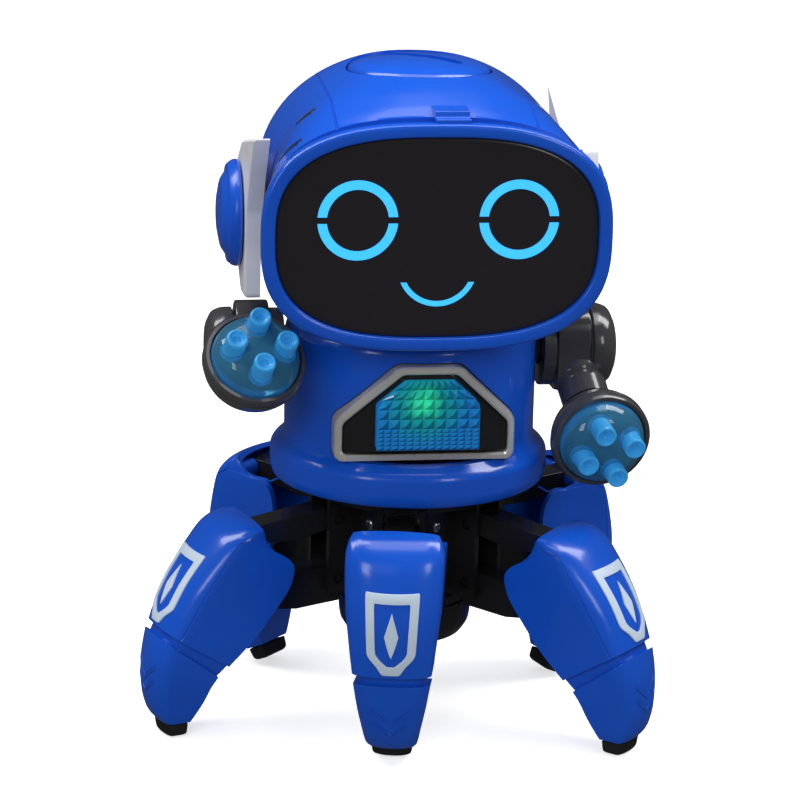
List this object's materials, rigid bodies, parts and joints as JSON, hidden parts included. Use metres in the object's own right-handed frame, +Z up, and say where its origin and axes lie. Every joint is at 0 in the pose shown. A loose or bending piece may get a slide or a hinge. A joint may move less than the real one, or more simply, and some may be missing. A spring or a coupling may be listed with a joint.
{
  "type": "toy robot",
  "caption": "Walking toy robot: domed head with an oval face screen, turning ears, swinging arms with clear pods, a chest light and legs lifted in turn by a cam.",
  "frame": {"origin": "centre of the footprint, on the plane the rubber feet stand on", "axes": "+Z up along the body, front of the robot towards -Y, +X to the viewer's right"},
  "size_m": [0.1578, 0.1612, 0.2063],
  "materials": {
    "body_blue": "gloss moulded plastic, royal blue",
    "black_gloss": "gloss black moulded plastic",
    "inner_black": "matte black plastic with dry cells",
    "arm_smoke": "gloss smoky grey plastic",
    "screen_black": "dark tinted screen, satin gloss",
    "chest_silver": "silver paint on moulded plastic",
    "fin_white": "satin white plastic",
    "clear_blue": "clear tinted blue plastic",
    "foot_rubber": "matte black rubber",
    "cam_acetal": "white acetal",
    "steel": "plated steel",
    "board_green": "green circuit board"
  },
  "bodies": {
    "base": {"hub_column": "black_gloss", "hub_bottom_cover": "black_gloss", "hub_deck": "black_gloss", "drive_motor": "steel", "front_lower_arm": "black_gloss", "right_front_lower_arm": "black_gloss", "right_rear_lower_arm": "black_gloss", "rear_lower_arm": "black_gloss", "left_rear_lower_arm": "black_gloss", "left_front_lower_arm": "black_gloss"},
    "cam": {"cam_drum": "cam_acetal", "drive_shaft": "steel"},
    "torso": {"torso_front_shell": "body_blue", "torso_rear_shell": "body_blue", "chest_frame": "chest_silver", "chest_lens": "clear_blue", "battery_door": "body_blue", "battery_holder": "inner_black", "speaker": "black_gloss", "main_board": "board_green", "neck_collar": "black_gloss"},
    "power_switch": {"power_switch": "black_gloss"},
    "head": {"helmet_shell": "body_blue", "face_bezel": "body_blue", "face_screen": "screen_black", "crown_disc": "body_blue"},
    "left_ear": {"left_ear_fin": "fin_white", "left_ear_cap": "body_blue"},
    "right_ear": {"right_ear_fin": "fin_white", "right_ear_cap": "body_blue"},
    "left_arm": {"left_shoulder": "arm_smoke", "left_pod_housing": "arm_smoke", "left_pod_dome": "clear_blue"},
    "right_arm": {"right_shoulder": "arm_smoke", "right_pod_housing": "arm_smoke", "right_pod_dome": "clear_blue"},
    "front_upper_arm": {"front_upper_arm": "black_gloss"},
    "front_leg": {"front_thigh_shell": "body_blue", "front_shin_shell": "body_blue", "front_foot_pad": "foot_rubber"},
    "right_front_upper_arm": {"right_front_upper_arm": "black_gloss"},
    "right_front_leg": {"right_front_thigh_shell": "body_blue", "right_front_shin_shell": "body_blue", "right_front_foot_pad": "foot_rubber"},
    "right_rear_upper_arm": {"right_rear_upper_arm": "black_gloss"},
    "right_rear_leg": {"right_rear_thigh_shell": "body_blue", "right_rear_shin_shell": "body_blue", "right_rear_foot_pad": "foot_rubber"},
    "rear_upper_arm": {"rear_upper_arm": "black_gloss"},
    "rear_leg": {"rear_thigh_shell": "body_blue", "rear_shin_shell": "body_blue", "rear_foot_pad": "foot_rubber"},
    "left_rear_upper_arm": {"left_rear_upper_arm": "black_gloss"},
    "left_rear_leg": {"left_rear_thigh_shell": "body_blue", "left_rear_shin_shell": "body_blue", "left_rear_foot_pad": "foot_rubber"},
    "left_front_upper_arm": {"left_front_upper_arm": "black_gloss"},
    "left_front_leg": {"left_front_thigh_shell": "body_blue", "left_front_shin_shell": "body_blue", "left_front_foot_pad": "foot_rubber"}
  },
  "joints": [
    {"name": "cam_turn", "type": "hinge", "parent": "base", "child": "cam", "pos_m": [0.00194, -0.00792, 0.062], "axis": [0, 0, 1], "range_deg": [0, 60]},
    {"name": "front_arm_lift", "type": "hinge", "parent": "base", "child": "front_upper_arm", "pos_m": [0.00053, -0.03488, 0.064], "axis": [-0.9986, 0.0523, 0], "range_deg": [-11.5, 0]},
    {"name": "front_leg_lean", "type": "hinge", "parent": "front_upper_arm", "child": "front_leg", "pos_m": [-0.00104, -0.06469, 0.06701], "axis": [-0.9986, 0.0523, 0], "range_deg": [0, 36.5]},
    {"name": "right_front_arm_lift", "type": "hinge", "parent": "base", "child": "right_front_upper_arm", "pos_m": [0.02458, -0.02263, 0.064], "axis": [-0.5446, -0.8387, 0], "range_deg": [0, 11.5]},
    {"name": "right_front_leg_lean", "type": "hinge", "parent": "right_front_upper_arm", "child": "right_front_leg", "pos_m": [0.04962, -0.03888, 0.06099], "axis": [-0.5446, -0.8387, 0], "range_deg": [-36.5, 0]},
    {"name": "right_rear_arm_lift", "type": "hinge", "parent": "base", "child": "right_rear_upper_arm", "pos_m": [0.026, 0.00434, 0.064], "axis": [0.454, -0.891, 0], "range_deg": [-11.5, 0]},
    {"name": "right_rear_leg_lean", "type": "hinge", "parent": "right_rear_upper_arm", "child": "right_rear_leg", "pos_m": [0.05259, 0.01789, 0.06701], "axis": [0.454, -0.891, 0], "range_deg": [0, 36.5]},
    {"name": "rear_arm_lift", "type": "hinge", "parent": "base", "child": "rear_upper_arm", "pos_m": [0.00335, 0.01904, 0.064], "axis": [0.9986, -0.0523, 0], "range_deg": [0, 11.5]},
    {"name": "rear_leg_lean", "type": "hinge", "parent": "rear_upper_arm", "child": "rear_leg", "pos_m": [0.00491, 0.04885, 0.06099], "axis": [0.9986, -0.0523, 0], "range_deg": [-36.5, 0]},
    {"name": "left_rear_arm_lift", "type": "hinge", "parent": "base", "child": "left_rear_upper_arm", "pos_m": [-0.02071, 0.00678, 0.064], "axis": [0.5446, 0.8387, 0], "range_deg": [-11.5, 0]},
    {"name": "left_rear_leg_lean", "type": "hinge", "parent": "left_rear_upper_arm", "child": "left_rear_leg", "pos_m": [-0.04574, 0.02304, 0.06701], "axis": [0.5446, 0.8387, 0], "range_deg": [0, 36.5]},
    {"name": "left_front_arm_lift", "type": "hinge", "parent": "base", "child": "left_front_upper_arm", "pos_m": [-0.02212, -0.02018, 0.064], "axis": [-0.454, 0.891, 0], "range_deg": [0, 11.5]},
    {"name": "left_front_leg_lean", "type": "hinge", "parent": "left_front_upper_arm", "child": "left_front_leg", "pos_m": [-0.04871, -0.03373, 0.06099], "axis": [-0.454, 0.891, 0], "range_deg": [-36.5, 0]},
    {"name": "waist_turn", "type": "hinge", "parent": "base", "child": "torso", "pos_m": [0.00194, -0.00792, 0.078], "axis": [0, 0, 1], "range_deg": [-4, 20]},
    {"name": "head_turn", "type": "hinge", "parent": "torso", "child": "head", "pos_m": [0.00194, -0.00792, 0.13], "axis": [0, 0, 1], "range_deg": [-6, 10]},
    {"name": "left_arm_swing", "type": "hinge", "parent": "torso", "child": "left_arm", "pos_m": [-0.0396, -0.01413, 0.115], "axis": [-0.989, -0.1478, 0], "range_deg": [-45, 0]},
    {"name": "left_ear_turn", "type": "hinge", "parent": "head", "child": "left_ear", "pos_m": [-0.0485, -0.01546, 0.1577], "axis": [-0.989, -0.1478, 0], "range_deg": [0, 105]},
    {"name": "right_arm_swing", "type": "hinge", "parent": "torso", "child": "right_arm", "pos_m": [0.04348, -0.00171, 0.115], "axis": [-0.989, -0.1478, 0], "range_deg": [0, 54.6]},
    {"name": "right_ear_turn", "type": "hinge", "parent": "head", "child": "right_ear", "pos_m": [0.05238, -0.00038, 0.1577], "axis": [-0.989, -0.1478, 0], "range_deg": [-105, 0]},
    {"name": "power_switch_slide", "type": "slide", "parent": "torso", "child": "power_switch", "axis": [0.989, 0.1478, 0], "range_m": [0, 0.005]}
  ],
  "couplings": [
    {"joint": "front_arm_lift", "follows": "cam_turn", "ratio": -0.19167},
    {"joint": "front_leg_lean", "follows": "cam_turn", "ratio": 0.60833},
    {"joint": "right_front_arm_lift", "follows": "cam_turn", "ratio": 0.19167},
    {"joint": "right_front_leg_lean", "follows": "cam_turn", "ratio": -0.60833},
    {"joint": "right_rear_arm_lift", "follows": "cam_turn", "ratio": -0.19167},
    {"joint": "right_rear_leg_lean", "follows": "cam_turn", "ratio": 0.60833},
    {"joint": "rear_arm_lift", "follows": "cam_turn", "ratio": 0.19167},
    {"joint": "rear_leg_lean", "follows": "cam_turn", "ratio": -0.60833},
    {"joint": "left_rear_arm_lift", "follows": "cam_turn", "ratio": -0.19167},
    {"joint": "left_rear_leg_lean", "follows": "cam_turn", "ratio": 0.60833},
    {"joint": "left_front_arm_lift", "follows": "cam_turn", "ratio": 0.19167},
    {"joint": "left_front_leg_lean", "follows": "cam_turn", "ratio": -0.60833}
  ]
}
